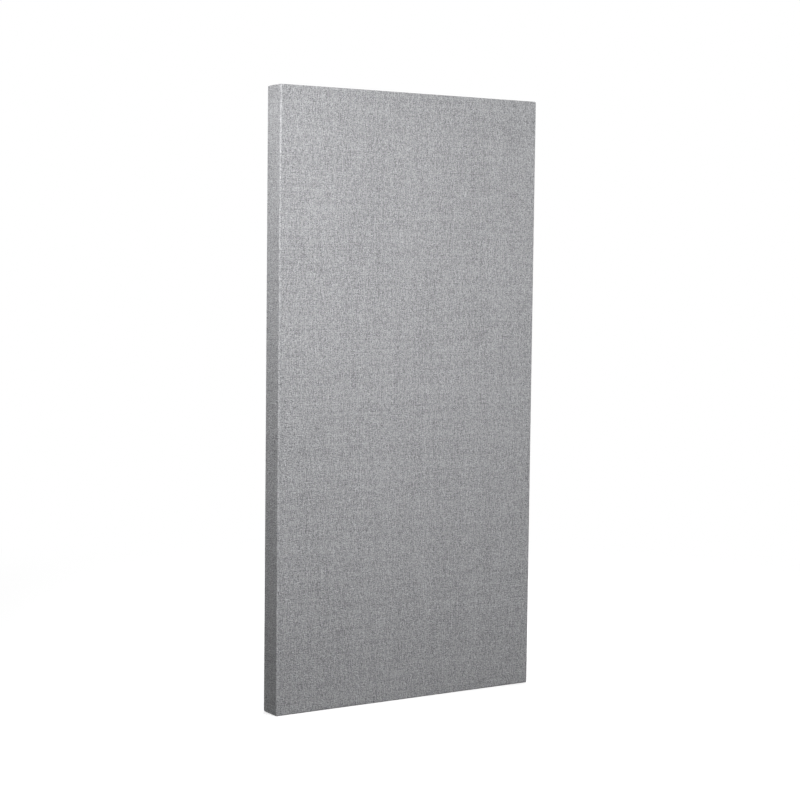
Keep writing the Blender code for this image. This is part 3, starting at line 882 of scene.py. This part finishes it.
left_eye = EYE_PLACE * Vector((-1, 1, 1))
foot = left_eye - Vector((STRAP_WIDTH / 2, EYE_RADIUS, STRAP_LENGTH))
top = left_eye + Vector((STRAP_WIDTH / 2, -EYE_RADIUS, 0))
strap = add_sheet("left_hanger_strap_rolled", foot, top, (1, 1))
edit(strap, "VERT")
select_verts(strap, lambda place: place.z < foot.z + NEAR)
bpy.ops.mesh.bevel(offset=STRAP_FOOT, segments=6, affect="VERTICES")
select_verts(strap, lambda place: place.z > left_eye.z - NEAR)
bpy.ops.mesh.spin(steps=EYE_STEPS, angle=EYE_CURL, center=left_eye, axis=(1, 0, 0))
bpy.ops.mesh.select_all(action="SELECT")
bpy.ops.mesh.normals_make_consistent(inside=False)
bpy.ops.object.mode_set(mode="OBJECT")
apply_modifier(strap, "SOLIDIFY", thickness=STRAP_THICKNESS, offset=0, use_even_offset=True)
for drop in SCREW_DROPS.values():
    bpy.ops.object.select_all(action="DESELECT")
    bpy.ops.mesh.primitive_cylinder_add(
        vertices=32,
        radius=BORE_RADIUS,
        depth=BORE_DEPTH,
        location=left_eye - Vector((0, EYE_RADIUS, drop)),
        rotation=(QUARTER_TURN, 0, 0),
    )
    cut_away(strap, add_piece("bore"))
# The bores leave a few points microns apart, which would keep the bevel from its width
edit(strap, "VERT")
bpy.ops.mesh.select_all(action="SELECT")
bpy.ops.mesh.remove_doubles(threshold=MERGE_DISTANCE)
bpy.ops.object.mode_set(mode="OBJECT")
apply_modifier(
    strap, "BEVEL", width=STRAP_ARRIS, segments=2, limit_method="ANGLE", angle_limit=math.radians(50)
)
smooth_by_angle(strap, degrees=35)
give_finish(strap, zinc)
hanger_spacing = 2 * EYE_PLACE.x
to_right = Matrix.Translation((hanger_spacing, 0, 0))
right_strap = copy_piece(strap, "right_hanger_strap_rolled", to_right)
for side, piece in (("left", strap), ("right", right_strap)):
    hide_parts(f"{side}_hanger_strap")
    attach(piece, "panel")

# The D-rings are bent from 2.2 mm steel wire, butted in the middle of the straight bar, which
# turns in the strap's eye. The panel hangs by them from hooks in the wall.
RING_WIRE = 0.0022
RING_HALF_WIDTH = 0.0081
RING_CORNER = 0.002
RING_LEG = 0.003


def bend(centre, degrees, steps):
    """Carries the wire's open end round this centre, clockwise as seen from the front."""
    bpy.ops.mesh.spin(steps=steps, angle=math.radians(degrees), center=centre, axis=(0, -1, 0))


bpy.ops.object.select_all(action="DESELECT")
bpy.ops.mesh.primitive_circle_add(
    vertices=20,
    radius=RING_WIRE / 2,
    fill_type="NOTHING",
    location=left_eye,
    rotation=(0, QUARTER_TURN, 0),
)
ring = add_piece("left_d_ring_wire")
edit(ring, "EDGE")
bpy.ops.mesh.select_all(action="SELECT")
shoulder = RING_HALF_WIDTH - RING_CORNER
extrude(shoulder, 0, 0)
bend(left_eye + Vector((shoulder, 0, -RING_CORNER)), degrees=90, steps=8)
extrude(0, 0, -RING_LEG)
bend(left_eye - Vector((0, 0, RING_CORNER + RING_LEG)), degrees=180, steps=36)
extrude(0, 0, RING_LEG)
bend(left_eye + Vector((-shoulder, 0, -RING_CORNER)), degrees=90, steps=8)
extrude(shoulder, 0, 0)
bpy.ops.mesh.select_all(action="SELECT")
bpy.ops.mesh.remove_doubles(threshold=MERGE_DISTANCE)
bpy.ops.mesh.normals_make_consistent(inside=False)
bpy.ops.object.mode_set(mode="OBJECT")
ring.data.shade_smooth()
give_finish(ring, zinc)
right_ring = copy_piece(ring, "right_d_ring_wire", to_right)
for side, piece in (("left", ring), ("right", right_ring)):
    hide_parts(f"{side}_d_ring")
    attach(piece, f"{side}_ring")

# Two pan-head wood screws with cross recesses hold each strap. They are 16 mm long under the head,
# and go through the felt and the cloth, about 12 mm into the stile.
HEAD_RADIUS = 0.0033
HEAD_HEIGHT = 0.0021
HEAD_SEAT = -0.0049
HEAD_ROUND = 0.00126
SHANK_RADIUS = 0.0015
SHANK_LENGTH = 0.013
TIP_LENGTH = 0.003
RECESS_SPAN = 0.0040
RECESS_WIDTH = 0.0009
RECESS_DEPTH = 0.0013
RECESS_TAPER = 0.55

middle = left_eye.copy()
middle.y = HEAD_SEAT + HEAD_HEIGHT / 2
bpy.ops.object.select_all(action="DESELECT")
bpy.ops.mesh.primitive_cylinder_add(
    vertices=40,
    radius=HEAD_RADIUS,
    depth=HEAD_HEIGHT,
    location=middle,
    rotation=FACING_WALL,
)
screw = add_piece("hanger_screw")
edit(screw)
select_faces(screw, faces_wall)
bpy.ops.mesh.bevel(offset=HEAD_ROUND, segments=7)
select_faces(screw, faces_room)
bpy.ops.mesh.inset(thickness=HEAD_RADIUS - SHANK_RADIUS)
extrude(0, -SHANK_LENGTH, 0)
extrude(0, -TIP_LENGTH, 0)
bpy.ops.mesh.merge(type="CENTER")
bpy.ops.object.mode_set(mode="OBJECT")
for turn in (0, QUARTER_TURN):
    bpy.ops.object.select_all(action="DESELECT")
    bpy.ops.mesh.primitive_cube_add(
        size=1,
        location=middle + Vector((0, HEAD_HEIGHT / 2, 0)),
        rotation=(-QUARTER_TURN, turn, 0),
        scale=(RECESS_SPAN, RECESS_WIDTH, 2 * RECESS_DEPTH),
    )
    recess = add_piece("recess")
    edit(recess)
    select_faces(recess, faces_room)
    bpy.ops.transform.resize(value=(RECESS_TAPER, 1, RECESS_TAPER))
    bpy.ops.object.mode_set(mode="OBJECT")
    cut_away(screw, recess)
smooth_by_angle(screw, degrees=35)
give_finish(screw, zinc)
for side, across in (("left", 0), ("right", hanger_spacing)):
    for level, drop in SCREW_DROPS.items():
        name = f"hanger_screw_{side}_{level}"
        copy = copy_piece(screw, name + "_pan_head", Matrix.Translation((across, 0, -drop)))
        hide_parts(name)
        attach(copy, "panel")
bpy.data.objects.remove(screw)

# Four moulded rubber bumpers on the corners of the back keep the hangers off the wall. Each is
# tapered, with a rounded rim and a shallow dimple in its face.
BUMPER_BASE = 0.007
BUMPER_TOP = 0.006
RIM_ROUND = 0.0009
DIMPLE_RADIUS = 0.0026
DIMPLE_DEPTH = 0.0006
DIMPLE_TAPER = 0.8
FLAT_FACE_AREA = 0.00002
RUBBER_BLACK = (0.016, 0.016, 0.017)
RUBBER_BLOOM = (0.034, 0.034, 0.035)
RUBBER_ROUGHNESS = 0.5
BLOOMS_PER_METRE = 260
BLOOM_RANGE = (0.35, 0.75)
BLOOM_ROUGHNESS = 0.2
RUBBER_GRAINS_PER_METRE = 5000
RUBBER_DEPTH = 0.00003

rubber, shader, start = new_finish("rubber", specular_ior_level=0.4)
place = start.node("ShaderNodeTexCoord", output="Object")
bloom = noise(place, BLOOMS_PER_METRE, detail=3, roughness=0.6)
grain = noise(place, RUBBER_GRAINS_PER_METRE, detail=2, roughness=0.6)
bloom.rise(*BLOOM_RANGE).colour(RUBBER_BLACK, RUBBER_BLOOM).feed(shader.inputs["Base Color"])
(bloom * BLOOM_ROUGHNESS + RUBBER_ROUGHNESS).feed(shader.inputs["Roughness"])
bump(grain, RUBBER_DEPTH).feed(shader.inputs["Normal"])

for end in ("top", "bottom"):
    for side in ("left", "right"):
        low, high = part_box(f"bumper_{end}_{side}")
        bpy.ops.object.select_all(action="DESELECT")
        bpy.ops.mesh.primitive_cylinder_add(
            vertices=48,
            radius=BUMPER_BASE,
            depth=high.y - low.y,
            location=(low + high) / 2,
            rotation=FACING_WALL,
        )
        bumper = add_piece(f"bumper_{end}_{side}_moulded")
        edit(bumper)
        select_faces(bumper, faces_wall)
        taper = BUMPER_TOP / BUMPER_BASE
        bpy.ops.transform.resize(value=(taper, 1, taper))
        bpy.ops.mesh.bevel(offset=RIM_ROUND, segments=5)
        select_faces(bumper, lambda face: faces_wall(face) and face.calc_area() > FLAT_FACE_AREA)
        bpy.ops.mesh.inset(thickness=BUMPER_TOP - RIM_ROUND - DIMPLE_RADIUS)
        extrude(0, -DIMPLE_DEPTH, 0)
        bpy.ops.transform.resize(value=(DIMPLE_TAPER, 1, DIMPLE_TAPER))
        bpy.ops.object.mode_set(mode="OBJECT")
        smooth_by_angle(bumper, degrees=35)
        give_finish(bumper, rubber)
        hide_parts(f"bumper_{end}_{side}")
        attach(bumper, "panel")
